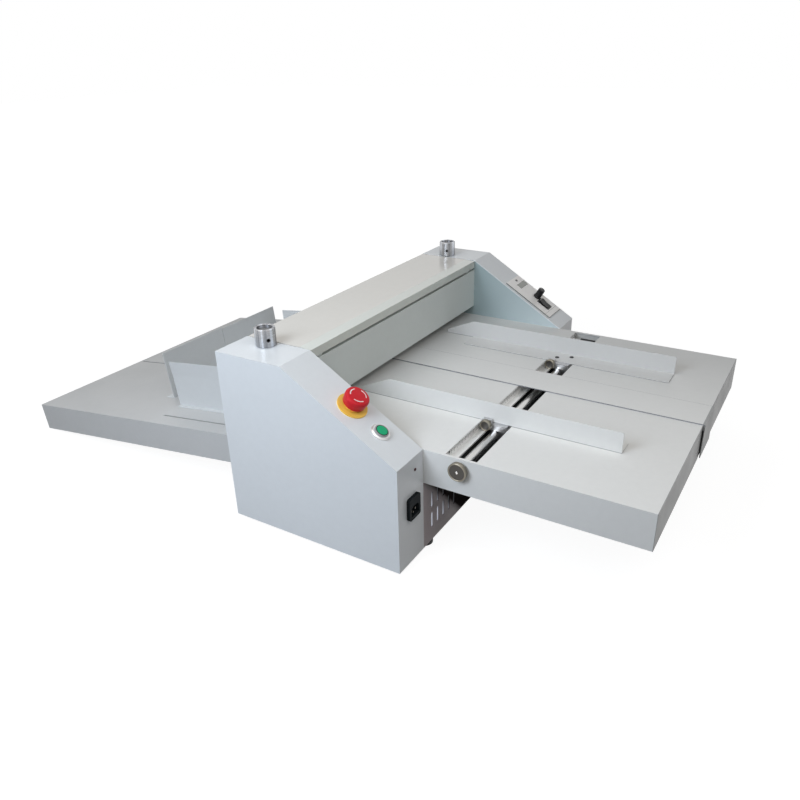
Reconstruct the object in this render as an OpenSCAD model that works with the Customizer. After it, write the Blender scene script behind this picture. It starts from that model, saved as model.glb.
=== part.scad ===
// Desktop paper creasing machine: two side housings with a crossbeam between them,
// an operator's feed table in front and a sloping delivery tray behind.
// +X is the control side, -X the emergency stop side, -Y the operator's side, +Z up.

/* [Side housings] */
// clear width between the two side housings
inner_w = 624; // [610:1:650]
// width of one side housing
housing_w = 80; // [74:1:90]
// depth of a side housing, front to back
housing_d = 355; // [350:1:380]
// height of a side housing without its feet
housing_h = 327; // [322:1:345]
// height of the front face of a housing, up to the slope
nose_h = 196; // [192:1:200]
// distance from the front face to the top of the slope
ridge_y = 216; // [212:1:220]
// thickness of the housing sheet
sheet_t = 2; // [1.5:0.1:2.4]
// thickness of the side frames that carry the shafts
frame_t = 8; // [6:0.5:10]
// height of the rubber feet
foot_h = 13; // [10:1:16]
// radius of the rubber feet
foot_r = 15; // [10:0.5:16]

/* [Feed table] */
// how far the feed table reaches in front of the housings
feed_len = 372; // [340:1:400]
// depth of the folded edge round the feed table
feed_skirt = 63.5; // [50:0.5:66]
// thickness of the table sheet
table_t = 1.5; // [1:0.1:2]
// left edge of the centre strip
strip_x0 = -15.5; // [-20:0.5:-12]
// right edge of the centre strip
strip_x1 = 63.5; // [56:0.5:68]
// how far the centre strip stands proud of the table
strip_rise = 2; // [1:0.1:3]
// how far the strip's end sticks out past the table's end
strip_over = 3.5; // [1:0.1:4]
// edge of the guide slot nearest the housings
slot_near_y = -38.7; // [-42:0.1:-37]
// edge of the guide slot farthest from the housings
slot_far_y = -94; // [-98:0.1:-92]
// width of the table edge left beside the guide slot
slot_rim = 5; // [3:0.5:8]

/* [Side guides of the feed table] */
// height of the guide walls above the table
fence_h = 36.5; // [30:0.5:42]
// thickness of the guide sheet
fence_t = 1.5; // [1:0.1:2]
// wall position of the left guide
fence_left_x = -173.1; // [-185:0.1:-160]
// flange width of the left guide
fence_left_flange = 35; // [28:0.5:40]
// wall position of the right guide
fence_right_x = 176; // [165:0.5:190]
// flange width of the right guide
fence_right_flange = 48; // [44:0.5:52]
// radius of the guide bar
bar_r = 8; // [6:0.25:8.5]
// position of the guide bar in front of the housings
bar_y = -66.5; // [-68:0.5:-65]
// depth of the guide bar's axis below the table top
bar_drop = 19; // [18:0.5:21]
// radius of the guide clamping wheels
wheel_r = 10; // [8:0.25:10.25]
// radius of the lateral adjusting knob
lateral_r = 16; // [12:0.5:18]

/* [Delivery tray] */
// width of the delivery tray
tray_w = 674; // [650:1:700]
// how far the tray reaches behind the housings
tray_reach = 652.5; // [600:0.5:680]
// height of the tray's outer edge above the ground
tray_end_z = 62; // [61:0.25:64]
// slope of the tray, down and away from the machine
tray_angle = 7.32; // [6.8:0.02:7.6]
// depth of the folded edge round the tray
tray_skirt = 60; // [50:0.5:60.5]
// width of the slots in the tray
tray_slot_w = 4; // [3.5:0.1:5]
// height of the end stop walls
stop_h = 104; // [80:1:115]
// height of the delivery side guides
side_h = 100; // [80:1:110]
// place of the end stops, measured down the tray
stop_v = 333.7; // [300:0.1:380]

/* [Rollers] */
// distance of the roller shafts from the housings' back face
shaft_back = 58; // [55:1:61]
// distance between the lower and the upper shaft
shaft_gap = 50; // [50:0.1:50.4]
// radius of the two shafts
shaft_r = 10; // [8:0.25:11]
// radius of the feed rings
ring_r = 24.85; // [24.6:0.01:24.9]
// height of the crest on a creasing ring
crest_h = 0.75; // [0.4:0.05:0.9]
// depth of the groove in an anvil ring
groove_h = 1.6; // [1.4:0.05:2]
// outer radius of the shaft bearings
bearing_r = 16; // [14.5:0.1:17]
// number of teeth on each shaft gear
gear_teeth = 25; // [25:1:25]
// how far the upper shaft can be lifted
lift = 3; // [1:0.5:3]

/* [Drive] */
// distance of the motor behind the front face
motor_y = 150; // [140:1:160]
// height of the motor's axis above the ground
motor_z = 95; // [90:1:105]
// radius of the motor body
motor_r = 36; // [30:1:40]
// radius of the motor pulley
small_pulley_r = 14; // [12:0.5:18]
// radius of the pulley on the lower shaft
large_pulley_r = 28; // [24:0.5:30]

/* [Controls] */
// radius of the pressure knobs
knob_r = 18.2; // [16:0.1:18.2]
// height of the pressure knobs
knob_h = 32; // [26:1:36]
// radius of the emergency stop's yellow ring
estop_ring_r = 26.4; // [24:0.1:28]
// radius of the emergency stop's red head
estop_head_r = 21; // [18:0.25:22]
// height of the red head's top above the slope
estop_h = 26; // [23:0.5:30]
// place of the emergency stop up the slope
estop_s = 128.6; // [120:0.1:140]
// radius of the start button's metal bezel
start_bezel_r = 17; // [15:0.25:18]
// place of the start button up the slope
start_s = 64.8; // [58:0.1:72]
// lower edge of the control panel, up the slope
panel_s0 = 34.6; // [30:0.1:36]
// upper edge of the control panel, up the slope
panel_s1 = 162.6; // [160:0.1:180]

/* [Hidden] */
// named clearances
run_gap = 0.05;
slide_gap = 0.05;
turn_gap = 0.3;
loose_gap = 0.6;
over = 1;
$fn = 0;
$fa = 6;
$fs = 0.6;

// main planes
half_in = inner_w / 2;
shaft_y = housing_d - shaft_back;
half_out = half_in + housing_w;
table_z = foot_h + nose_h;
top_z = foot_h + housing_h;
slope_rise = (top_z - table_z) / ridge_y;
slope_long = sqrt(1 + slope_rise * slope_rise);
slope_angle = atan(slope_rise);
table_under = table_z - table_t;
strip_end_y = -feed_len - strip_over;
tray_end_y = housing_d + tray_reach;
front_y = -(strip_end_y + tray_end_y) / 2;
frame_in = half_in;
frame_out = half_in + frame_t;

// rollers
shaft_lo_z = table_z - shaft_gap / 2;
shaft_hi_z = table_z + shaft_gap / 2;
ring_w = 20;
ring_edge = 1;
crease_w = 1.4;
groove_w = 3;
crease_x = [-150, 0, 150];
feed_x = [-225, -75, 75, 225];
gear_x = 345;
gear_w = 12;
gear_pitch_r = 25;
gear_module = 2 * gear_pitch_r / gear_teeth;
flange_t = 1.5;
shaft_right = 361;

// pressure screws and bearing blocks
screw_x = half_in + knob_r - 2;
screw_r = 5;
screw_foot_z = shaft_hi_z + 16;
block_half = 21.5;
block_in = frame_in + 0.5;
block_out = screw_x + 12;
block_lo_z = shaft_hi_z - 20;
block_hi_z = shaft_hi_z + 38;
belt_w = 12;
pulley_x1 = -block_out - flange_t - 1.3;
pulley_x0 = pulley_x1 - belt_w;
shaft_left = pulley_x0 - 12;
lug_lo_z = 290;
lug_hi_z = 308;
lug_half = 15;

// crossbeam
cover_half = half_in - 2.4;
cover_t = 2;
cover_fall = 1.5;
cover_bend = 24;
lip_h = 17;
lip_gap = 5.5;
guard_lo_z = table_z + 21.5;
guard_hi_z = top_z - lip_h - lip_gap;
hinge_y = housing_d - 7;
hinge_z = top_z - 6;
hinge_r = 3;
ear_r = 6;
collar_r = 3.6;
ear_x0 = half_in - 7;
ear_x1 = half_in - 5;

// feed table parts
table_back_y = shaft_y - ring_r - 4.5;
bar_z = table_z - bar_drop;
bar_half = half_in - 9;
rail_top_z = table_z - 11.5;
rail_t = 3;
rail_y0 = -53;
rail_y1 = -35;
scale_t = 1.5;
scale_y1 = slot_near_y - 0.3;
bracket_out = half_in - 12;
bracket_t = 4;
wheel_y = -51.5;
wheel_z = table_z - 1;
wheel_w = 8;
stem_r = 3;

// tray parts
tray_top_z = tray_end_z + tan(tray_angle) * tray_reach;
tray_len = tray_reach / cos(tray_angle);
tray_t = 1.5;

// puts a drawing made behind the front face into the part's own frame
module place() translate([0, front_y, 0]) children();

// a box given by its two corners
module box(a, b) translate(a) cube(b - a);

// extrudes a drawing of the Y-Z plane from x0 to x1
module along_x(x0, x1) translate([x0, 0, 0]) rotate([90, 0, 90]) linear_extrude(x1 - x0) children();

// extrudes a drawing of the X-Z plane from y0 to y1
module along_y(y0, y1) translate([0, y1, 0]) rotate([90, 0, 0]) linear_extrude(y1 - y0) children();

// a round bar along X
module bar_x(x0, x1, y, z, r) translate([x0, y, z]) rotate([0, 90, 0]) cylinder(h = x1 - x0, r = r);

// moves a part drawn flat onto the sloping face of a housing
module on_slope(x, s) {
  translate([x, s * cos(slope_angle), table_z + s * sin(slope_angle)])
    rotate([slope_angle, 0, 0]) children();
}

// moves a part drawn flat onto the delivery tray, v is the way down the tray
module on_tray(x, v) {
  translate([x, housing_d, tray_top_z]) rotate([-tray_angle, 0, 0]) translate([0, v, 0]) children();
}

// side view of a housing, set in by t from the outer skin
function shell_profile(t, floor_z) = [
  [t, floor_z],
  [t, table_z + t * slope_rise - t * slope_long],
  [ridge_y + t * (slope_long - 1) / slope_rise, top_z - t],
  [housing_d - t, top_z - t],
  [housing_d - t, floor_z]
];

// ---------- housings and frames ----------

// hollow sheet housing of the +X side, open towards the frame and the base plate
module housing_shell() {
  difference() {
    along_x(half_in, half_out) polygon(shell_profile(0, foot_h));
    along_x(half_in - over, half_out - sheet_t) polygon(shell_profile(sheet_t, foot_h - over));
    translate([screw_x, shaft_y, top_z - sheet_t - over])
      cylinder(h = sheet_t + 2 * over, r = screw_r + loose_gap);
  }
}

inlet_x = -348.7;
inlet_z = 121.3;
inlet_cut_w = 28;
inlet_cut_h = 35;
lamp_x = -338;
lamp_z = 185;
lamp_r = 2.6;
estop_x = -347;
start_x = -349;
estop_hole_r = 11;
start_hole_r = 13.5;

module left_housing() {
  color([0.87, 0.89, 0.9]) place() difference() {
    mirror([1, 0, 0]) housing_shell();
    on_slope(estop_x, estop_s) translate([0, 0, -8]) cylinder(h = 12, r = estop_hole_r);
    on_slope(start_x, start_s) translate([0, 0, -8]) cylinder(h = 12, r = start_hole_r);
    box([inlet_x - inlet_cut_w / 2, -over, inlet_z - inlet_cut_h / 2],
        [inlet_x + inlet_cut_w / 2, sheet_t + over, inlet_z + inlet_cut_h / 2]);
    translate([lamp_x, sheet_t + over, lamp_z])
      rotate([90, 0, 0]) cylinder(h = sheet_t + 2 * over, r = lamp_r);
  }
}

panel_x0 = half_in + 7.6;
panel_x1 = half_out - 4;
panel_t = 1.5;
speed_x = 360;
speed_s = 92;
speed_r = 9;
speed_h = 25;
speed_stem_r = 3;
rocker_x = 356;
rocker_s = 67.5;
rocker_w = 19;
rocker_l = 27;
window_x = 364.5;
window_s = 137.5;
window_w = 40;
window_l = 14;
reset_x = 360;
reset_s = 154;
reset_r = 2.6;

// the openings for the controls, through panel and housing
module control_holes(extra) {
  on_slope(speed_x, speed_s) translate([0, 0, -8]) cylinder(h = 16, r = speed_stem_r + turn_gap + extra);
  on_slope(rocker_x, rocker_s) box([-rocker_w / 2 - 0.5 - extra, -rocker_l / 2 - 0.5 - extra, -8],
                                   [rocker_w / 2 + 0.5 + extra, rocker_l / 2 + 0.5 + extra, 8]);
  on_slope(reset_x, reset_s) translate([0, 0, -8]) cylinder(h = 16, r = reset_r + turn_gap + extra);
}

module right_housing() {
  color([0.87, 0.89, 0.9]) place() difference() {
    housing_shell();
    control_holes(0.5);
  }
}

// thick inner plate of the +X side with the shaft seats and the screw lug
module side_frame() {
  difference() {
    union() {
      along_x(frame_in, frame_out) polygon(shell_profile(sheet_t, foot_h + sheet_t));
      box([frame_out - over, shaft_y - lug_half, lug_lo_z],
          [screw_x + lug_half, shaft_y + lug_half, lug_hi_z]);
    }
    bar_x(frame_in - over, frame_out + over, shaft_y, shaft_lo_z, bearing_r);
    box([frame_in - over, shaft_y - block_half - slide_gap, block_lo_z - turn_gap],
        [frame_out + over, shaft_y + block_half + slide_gap, block_hi_z + lift + turn_gap]);
    translate([screw_x, shaft_y, lug_lo_z - over])
      cylinder(h = lug_hi_z - lug_lo_z + 2 * over, r = screw_r + run_gap);
    bar_x(frame_in - over, frame_out + over, hinge_y, hinge_z, hinge_r);
  }
}

module left_side_frame() {
  color([0.8, 0.84, 0.86]) place() difference() {
    mirror([1, 0, 0]) side_frame();
    bar_x(-frame_out - over, -frame_in + over, motor_y, motor_z, motor_hole_r);
  }
}

module right_side_frame() {
  color([0.8, 0.84, 0.86]) place() side_frame();
}

module base_plate() {
  color([0.7, 0.72, 0.73]) place() box([-half_out + sheet_t, sheet_t, foot_h],
                                       [half_out - sheet_t, housing_d - sheet_t, foot_h + sheet_t]);
}

foot_x = half_in - 32;
foot_in_y = foot_r + 2;
pad_x = 290;
pad_half = 14;
pad_t = 8;
pad_over = 10;

// the round feet of the machine, and two pads inside the tray's outer edge
module rubber_feet() {
  color([0.1, 0.1, 0.1]) place() {
    for (x = [-foot_x, foot_x], y = [foot_in_y, housing_d - foot_in_y])
      translate([x, y, 0]) rotate_extrude()
        polygon([[0, 0], [foot_r - 1.5, 0], [foot_r, 1.5], [foot_r, foot_h], [0, foot_h]]);
    intersection() {
      on_tray(0, tray_len - tray_t) for (x = [-pad_x, pad_x])
        box([x - pad_half, -pad_t, -tray_skirt - pad_over], [x + pad_half, 0, -tray_skirt + pad_over]);
      box([-tray_w, housing_d, 0], [tray_w, housing_d + 2 * tray_reach, tray_skirt]);
    }
  }
}

vent_pitch = 20.4;
vent_first_x = 200.5;
vent_count = 5;
vent_w = 7;
vent_rows = [[39, 70], [80, 111]];

// one ventilation slot with round ends, drawn in the X-Z plane
module vent_slot(x, z0, z1) {
  translate([x - vent_w / 2, z0 + vent_w / 2]) square([vent_w, z1 - z0 - vent_w]);
  translate([x, z0 + vent_w / 2]) circle(r = vent_w / 2);
  translate([x, z1 - vent_w / 2]) circle(r = vent_w / 2);
}

module vent_panel() {
  color([0.8, 0.81, 0.83]) place() difference() {
    box([-half_in, 0, foot_h], [half_in, sheet_t, table_under]);
    along_y(-over, sheet_t + over)
      for (side = [-1, 1], i = [0 : vent_count - 1], row = vent_rows)
        vent_slot(side * (vent_first_x + i * vent_pitch), row[0], row[1]);
  }
}

exit_plate_z = table_z - 5;

module rear_panel() {
  color([0.8, 0.81, 0.83]) place() {
    box([-half_in, housing_d - sheet_t, foot_h], [half_in, housing_d, exit_plate_z]);
    box([-half_in, shaft_y + ring_r + 2.5, exit_plate_z - sheet_t], [half_in, housing_d, exit_plate_z]);
  }
}

// ---------- crossbeam ----------

guard_y = ridge_y + 0.5;
guard_t = 1.5;
post_x = 290;
post_w = 15;
exit_h = 13;
hinge_room = 17;

guard_foot = 16;
guard_rest = 13;
post_y0 = guard_y + 4;
post_y1 = guard_y + guard_rest;

// how far the cover's bent front lies below its flat top at y
function cover_drop(y) = cover_fall * (1 - (y - ridge_y) / cover_bend);

module front_guard() {
  color([0.75, 0.79, 0.79]) place() {
    box([-half_in, guard_y, guard_lo_z], [half_in, guard_y + guard_t, guard_hi_z]);
    box([-half_in, guard_y, guard_lo_z], [half_in, guard_y + guard_foot, guard_lo_z + guard_t]);
    box([-half_in, guard_y, guard_hi_z - guard_t], [half_in, post_y1, guard_hi_z]);
    for (x = [-post_x, post_x - post_w])
      along_x(x, x + post_w) polygon([
        [post_y0, guard_hi_z - guard_t], [post_y0, top_z - cover_t - slide_gap - cover_drop(post_y0)],
        [post_y1, top_z - cover_t - slide_gap - cover_drop(post_y1)], [post_y1, guard_hi_z - guard_t]]);
  }
}

rear_foot = 18;
rear_rest = 14;

module rear_guard() {
  color([0.8, 0.82, 0.83]) place() {
    back_y = housing_d - sheet_t;
    box([-half_in, back_y - guard_t, table_z + exit_h], [half_in, back_y, top_z - hinge_room]);
    box([-half_in, back_y - rear_foot, table_z + exit_h], [half_in, back_y, table_z + exit_h + guard_t]);
    box([-half_in, back_y - rear_rest, top_z - hinge_room - guard_t], [half_in, back_y, top_z - hinge_room]);
  }
}

module top_cover() {
  color([0.88, 0.89, 0.88]) place() {
    along_x(-cover_half, cover_half) polygon([
      [ridge_y, top_z - lip_h], [ridge_y, top_z - cover_fall], [ridge_y + cover_bend, top_z],
      [housing_d - 1, top_z], [housing_d - 1, top_z - cover_t], [ridge_y + cover_bend, top_z - cover_t],
      [ridge_y + guard_t, top_z - cover_t - cover_drop(ridge_y + guard_t)], [ridge_y + guard_t, top_z - lip_h]]);
    for (x = [-ear_x1, ear_x0])
      along_x(x, x + ear_x1 - ear_x0) difference() {
        union() {
          translate([hinge_y, hinge_z]) circle(r = ear_r);
          translate([hinge_y - ear_r, hinge_z]) square([2 * ear_r, top_z - cover_t - hinge_z + 0.5]);
        }
        translate([hinge_y, hinge_z]) circle(r = hinge_r + run_gap);
      }
  }
}

module cover_hinge_pins() {
  color([0.7, 0.7, 0.72]) place() for (side = [0, 1]) mirror([side, 0, 0]) {
    bar_x(ear_x0 - 2, frame_out, hinge_y, hinge_z, hinge_r);
    bar_x(ear_x1 + turn_gap, frame_in, hinge_y, hinge_z, collar_r);
  }
}

// ---------- rollers ----------

// a turned ring on a shaft along X, centred on x, with rounded edges
module plain_ring(x, z, r) {
  translate([x - ring_w / 2, shaft_y, z]) rotate([0, 90, 0]) rotate_extrude()
    polygon([[shaft_r, 0], [r - ring_edge, 0], [r, ring_edge], [r, ring_w - ring_edge],
             [r - ring_edge, ring_w], [shaft_r, ring_w]]);
}

// the lower ring of a creasing pair, with its groove
module grooved_ring(x, z) {
  translate([x - ring_w / 2, shaft_y, z]) rotate([0, 90, 0]) rotate_extrude()
    polygon([[shaft_r, 0], [ring_r - ring_edge, 0], [ring_r, ring_edge],
             [ring_r, (ring_w - groove_w) / 2], [ring_r - groove_h, (ring_w - groove_w) / 2],
             [ring_r - groove_h, (ring_w + groove_w) / 2], [ring_r, (ring_w + groove_w) / 2],
             [ring_r, ring_w - ring_edge], [ring_r - ring_edge, ring_w], [shaft_r, ring_w]]);
}

// the upper ring of a creasing pair, with its crest
module crested_ring(x, z) {
  translate([x - ring_w / 2, shaft_y, z]) rotate([0, 90, 0]) rotate_extrude()
    polygon([[shaft_r, 0], [ring_r - 2.5, 0], [ring_r - 1.5, 1], [ring_r - 1.5, ring_w / 2 - 2],
             [ring_r + crest_h, (ring_w - crease_w) / 2], [ring_r + crest_h, (ring_w + crease_w) / 2],
             [ring_r - 1.5, ring_w / 2 + 2], [ring_r - 1.5, ring_w - 1], [ring_r - 2.5, ring_w],
             [shaft_r, ring_w]]);
}

module lower_shaft() {
  color([0.72, 0.73, 0.75]) place() bar_x(shaft_left, shaft_right, shaft_y, shaft_lo_z, shaft_r);
}

module upper_shaft() {
  color([0.72, 0.73, 0.75]) place() bar_x(-block_out, shaft_right, shaft_y, shaft_hi_z, shaft_r);
}

module anvil_rings() {
  color([0.6, 0.61, 0.63]) place() {
    for (x = crease_x) grooved_ring(x, shaft_lo_z);
    for (x = feed_x) plain_ring(x, shaft_lo_z, ring_r);
  }
}

module creasing_rings() {
  color([0.66, 0.67, 0.69]) place() for (x = crease_x) crested_ring(x, shaft_hi_z);
}

module feed_rings() {
  color([0.15, 0.15, 0.16]) place() for (x = feed_x) plain_ring(x, shaft_hi_z, ring_r);
}

// the point of an involute at roll angle t from base radius rb
function involute(rb, t) = [rb * (cos(t) + t * PI / 180 * sin(t)), rb * (sin(t) - t * PI / 180 * cos(t))];
function turned(p, a) = [p[0] * cos(a) - p[1] * sin(a), p[0] * sin(a) + p[1] * cos(a)];

// one gear as a polygon, pressure angle 20 degrees, thinned by backlash
module gear_outline(phase) {
  base_r = gear_pitch_r * cos(20);
  tip_r = gear_pitch_r + gear_module * 0.95;
  root_r = gear_pitch_r - gear_module * 1.25;
  pitch_roll = sqrt(pow(gear_pitch_r / base_r, 2) - 1) * 180 / PI;
  tip_roll = sqrt(pow(tip_r / base_r, 2) - 1) * 180 / PI;
  backlash = 0.5;
  half_tooth = 90 / gear_teeth - backlash;
  flank_turn = half_tooth + pitch_roll - atan(pitch_roll * PI / 180);
  steps = 4;
  points = [for (i = [0 : gear_teeth - 1]) let (mid = phase + i * 360 / gear_teeth)
    each concat(
      [turned([root_r, 0], mid - flank_turn)],
      [for (k = [0 : steps]) turned(involute(base_r, tip_roll * k / steps), mid - flank_turn)],
      [for (k = [steps : -1 : 0])
        let (p = involute(base_r, tip_roll * k / steps)) turned([p[0], -p[1]], mid + flank_turn)],
      [turned([root_r, 0], mid + flank_turn)])];
  polygon(points);
}

module lower_gear() {
  color([0.55, 0.56, 0.58]) place() difference() {
    translate([0, shaft_y, shaft_lo_z]) along_x(gear_x, gear_x + gear_w) gear_outline(90);
    bar_x(gear_x - over, gear_x + gear_w + over, shaft_y, shaft_lo_z, shaft_r);
  }
}

module upper_gear() {
  color([0.55, 0.56, 0.58]) place() difference() {
    translate([0, shaft_y, shaft_hi_z]) along_x(gear_x, gear_x + gear_w)
      gear_outline(-90 + 180 / gear_teeth);
    bar_x(gear_x - over, gear_x + gear_w + over, shaft_y, shaft_hi_z, shaft_r);
  }
}

module lower_bearings() {
  color([0.62, 0.63, 0.65]) place() for (side = [0, 1]) mirror([side, 0, 0]) difference() {
    union() {
      bar_x(frame_in, frame_out, shaft_y, shaft_lo_z, bearing_r);
      bar_x(frame_out, frame_out + 2, shaft_y, shaft_lo_z, bearing_r + 3);
    }
    bar_x(frame_in - over, frame_out + 2 + over, shaft_y, shaft_lo_z, shaft_r + run_gap);
  }
}

module upper_bearing_blocks() {
  color([0.58, 0.59, 0.6]) place() for (side = [0, 1]) mirror([side, 0, 0]) difference() {
    box([block_in, shaft_y - block_half, block_lo_z], [block_out, shaft_y + block_half, block_hi_z]);
    bar_x(block_in - over, block_out + over, shaft_y, shaft_hi_z, shaft_r + run_gap);
    translate([screw_x, shaft_y, screw_foot_z - lift - turn_gap])
      cylinder(h = block_hi_z - screw_foot_z + lift + turn_gap + over, r = screw_r + run_gap);
  }
}

// ---------- drive ----------

motor_hole_r = 9;
motor_shaft_r = 6;
motor_len = 112;
gearbox_len = 28;
gearbox_half = 38;
belt_t = 3;

module drive_motor() {
  color([0.25, 0.26, 0.28]) place() difference() {
    union() {
      bar_x(-half_in + gearbox_len, -half_in + gearbox_len + motor_len, motor_y, motor_z, motor_r);
      box([-half_in, motor_y - gearbox_half, motor_z - gearbox_half],
          [-half_in + gearbox_len, motor_y + gearbox_half, motor_z + gearbox_half]);
    }
    bar_x(-half_in - over, -half_in + gearbox_len - 6, motor_y, motor_z, motor_shaft_r + run_gap);
  }
}

// a belt pulley with two flanges on a shaft along X
module flanged_pulley(y, z, r) {
  bar_x(pulley_x0, pulley_x1, y, z, r);
  bar_x(pulley_x0 - turn_gap - flange_t, pulley_x0 - turn_gap, y, z, r + belt_t);
  bar_x(pulley_x0 - turn_gap - flange_t, pulley_x1 + turn_gap + flange_t, y, z, r - over);
  bar_x(pulley_x1 + turn_gap, pulley_x1 + turn_gap + flange_t, y, z, r + belt_t);
}

module motor_pulley() {
  color([0.6, 0.61, 0.63]) place() {
    flanged_pulley(motor_y, motor_z, small_pulley_r);
    bar_x(pulley_x0 - 4, -half_in + gearbox_len - 7, motor_y, motor_z, motor_shaft_r);
  }
}

module shaft_pulley() {
  color([0.6, 0.61, 0.63]) place() difference() {
    flanged_pulley(shaft_y, shaft_lo_z, large_pulley_r);
    bar_x(pulley_x0 - 5, pulley_x1 + 5, shaft_y, shaft_lo_z, shaft_r);
  }
}

belt_span = sqrt(pow(shaft_y - motor_y, 2) + pow(shaft_lo_z - motor_z, 2));
belt_lean = asin((large_pulley_r - small_pulley_r) / belt_span);
belt_turn = atan2(shaft_lo_z - motor_z, shaft_y - motor_y);

// the area inside a belt that runs round both pulleys, grown by g
module belt_area(g) {
  steps = 30;
  small_a0 = 90 + belt_lean;
  small_step = (360 - 2 * small_a0) / steps;
  large_step = 2 * small_a0 / steps;
  r1 = (small_pulley_r + g) / cos(small_step / 2);
  r2 = (large_pulley_r + g) / cos(large_step / 2);
  polygon(concat(
    [for (i = [0 : steps - 1]) let (a = small_a0 + (i + 0.5) * small_step) [r1 * cos(a), r1 * sin(a)]],
    [for (i = [0 : steps - 1]) let (a = -small_a0 + (i + 0.5) * large_step)
      [belt_span + r2 * cos(a), r2 * sin(a)]]));
}

module drive_belt() {
  color([0.08, 0.08, 0.09]) place()
    along_x(pulley_x0, pulley_x1) translate([motor_y, motor_z]) rotate(belt_turn) difference() {
      belt_area(belt_t);
      belt_area(run_gap);
    }
}

board_x = frame_out + 8;
board_y0 = 60;
board_y1 = 190;
board_z0 = 60;
board_z1 = 150;
standoff_r = 3;
standoff_in = 8;
board_t = 1.6;
supply_y = 74;
supply_z = 72;
supply_w = 40;
supply_h = 36;
supply_d = 24;
relay_y = 130;
relay_h = 20;
relay_d = 12;
can_r = 8;
can_y = 84;
can_z = 126;
can_pitch = 22;
can_d = 26;

// the circuit board on four standoffs, with a supply, a relay and three cans
module control_board() {
  color([0.1, 0.35, 0.2]) place() {
    box([board_x, board_y0, board_z0], [board_x + board_t, board_y1, board_z1]);
    for (y = [board_y0 + standoff_in, board_y1 - standoff_in],
         z = [board_z0 + standoff_in, board_z1 - standoff_in])
      bar_x(frame_out, board_x + board_t / 2, y, z, standoff_r);
    box([board_x, supply_y, supply_z], [board_x + supply_d, supply_y + supply_w, supply_z + supply_h]);
    box([board_x, relay_y, supply_z], [board_x + relay_d, relay_y + supply_w, supply_z + relay_h]);
    for (i = [0 : 2])
      bar_x(board_x, board_x + can_d, can_y + i * can_pitch, can_z, can_r);
  }
}

// ---------- pressure adjustment ----------

knob_z = top_z + 0.4;
recess_r = 13.5;
recess_h = 4;
set_screw_r = 3.4;

// knurl-free turned knob with a recessed top and a radial set screw hole
module pressure_knob(x, hole_angle) {
  translate([x, shaft_y, knob_z]) difference() {
    rotate_extrude() polygon([
      [0, 0], [knob_r - 1, 0], [knob_r, 1], [knob_r, knob_h - 1.2], [knob_r - 1.2, knob_h],
      [recess_r + 0.8, knob_h], [recess_r, knob_h - 0.8], [recess_r, knob_h - recess_h],
      [0, knob_h - recess_h]]);
    translate([0, 0, -over]) cylinder(h = knob_h - recess_h + over - 4, r = screw_r);
    translate([0, 0, knob_h * 0.42]) rotate([0, 90, hole_angle]) translate([0, 0, screw_r])
      cylinder(h = knob_r, r = set_screw_r);
  }
}

// the screw under a pressure knob, from the knob down into its bearing block
module pressure_screw(x) {
  translate([x, shaft_y, screw_foot_z])
    cylinder(h = knob_z + knob_h - recess_h - 4 - screw_foot_z, r = screw_r);
}

module left_pressure_knob() {
  color([0.7, 0.71, 0.73]) place() pressure_knob(-screw_x, -123);
}

module left_pressure_screw() {
  color([0.65, 0.66, 0.68]) place() pressure_screw(-screw_x);
}

module right_pressure_knob() {
  color([0.7, 0.71, 0.73]) place() pressure_knob(screw_x, -155);
}

module right_pressure_screw() {
  color([0.65, 0.66, 0.68]) place() pressure_screw(screw_x);
}

// ---------- feed table ----------

fold_t = 1.5;
fold_h = 9;
inner_fold_h = 17;

// one half of the feed table between x0 and x1, with its guide slot from s0 to s1
module feed_table_half(x0, x1, s0, s1) {
  difference() {
    box([x0, -feed_len, table_under], [x1, table_back_y, table_z]);
    box([s0, slot_far_y, table_under - over], [s1, slot_near_y, table_z + over]);
  }
  box([x0, -feed_len, table_z - feed_skirt], [x1, -feed_len + fold_t, table_z]);
  box([x0, slot_far_y - fold_t, table_z - fold_h], [x1, slot_far_y, table_z]);
  box([x0, slot_near_y, table_z - fold_h], [x1, slot_near_y + fold_t, table_z]);
}

module left_feed_table() {
  color([0.87, 0.88, 0.9]) place() {
    feed_table_half(-half_in, strip_x0, -half_in + slot_rim, strip_x0 + over);
    difference() {
      box([-half_in, -feed_len, table_z - feed_skirt], [-half_in + fold_t, 0, table_z]);
      bar_x(-half_in - over, -half_in + fold_t + over, bar_y, bar_z, knob_stem_r + turn_gap);
    }
    for (y = [[-feed_len, slot_far_y], [rail_y1 + loose_gap, 0]])
      box([strip_x0 - fold_t, y[0], table_z - inner_fold_h], [strip_x0, y[1], table_z]);
  }
}

module right_feed_table() {
  color([0.87, 0.88, 0.9]) place() {
    feed_table_half(strip_x1, half_in, strip_x1 - over, half_in - slot_rim);
    box([half_in - fold_t, -feed_len, table_z - feed_skirt], [half_in, 0, table_z]);
    for (y = [[-feed_len, slot_far_y], [rail_y1 + loose_gap, 0]])
      box([strip_x1, y[0], table_z - inner_fold_h], [strip_x1 + fold_t, y[1], table_z]);
  }
}

module centre_strip() {
  color([0.88, 0.89, 0.91]) place() {
    box([strip_x0, strip_end_y, table_z + strip_rise - fold_t],
        [strip_x1, table_back_y, table_z + strip_rise]);
    box([strip_x0, strip_end_y, table_z + 1.5 - feed_skirt],
        [strip_x1, strip_end_y + fold_t, table_z + strip_rise]);
    for (x = [strip_x0, strip_x1 - fold_t], y = [[strip_end_y, slot_far_y], [slot_near_y, 0]])
      box([x, y[0], table_z - fold_h], [x + fold_t, y[1], table_z + strip_rise]);
  }
}

trough_y0 = slot_far_y - 10;
trough_y1 = slot_near_y + 9;
trough_z = bar_z - 13;
trough_t = 1.5;

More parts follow.
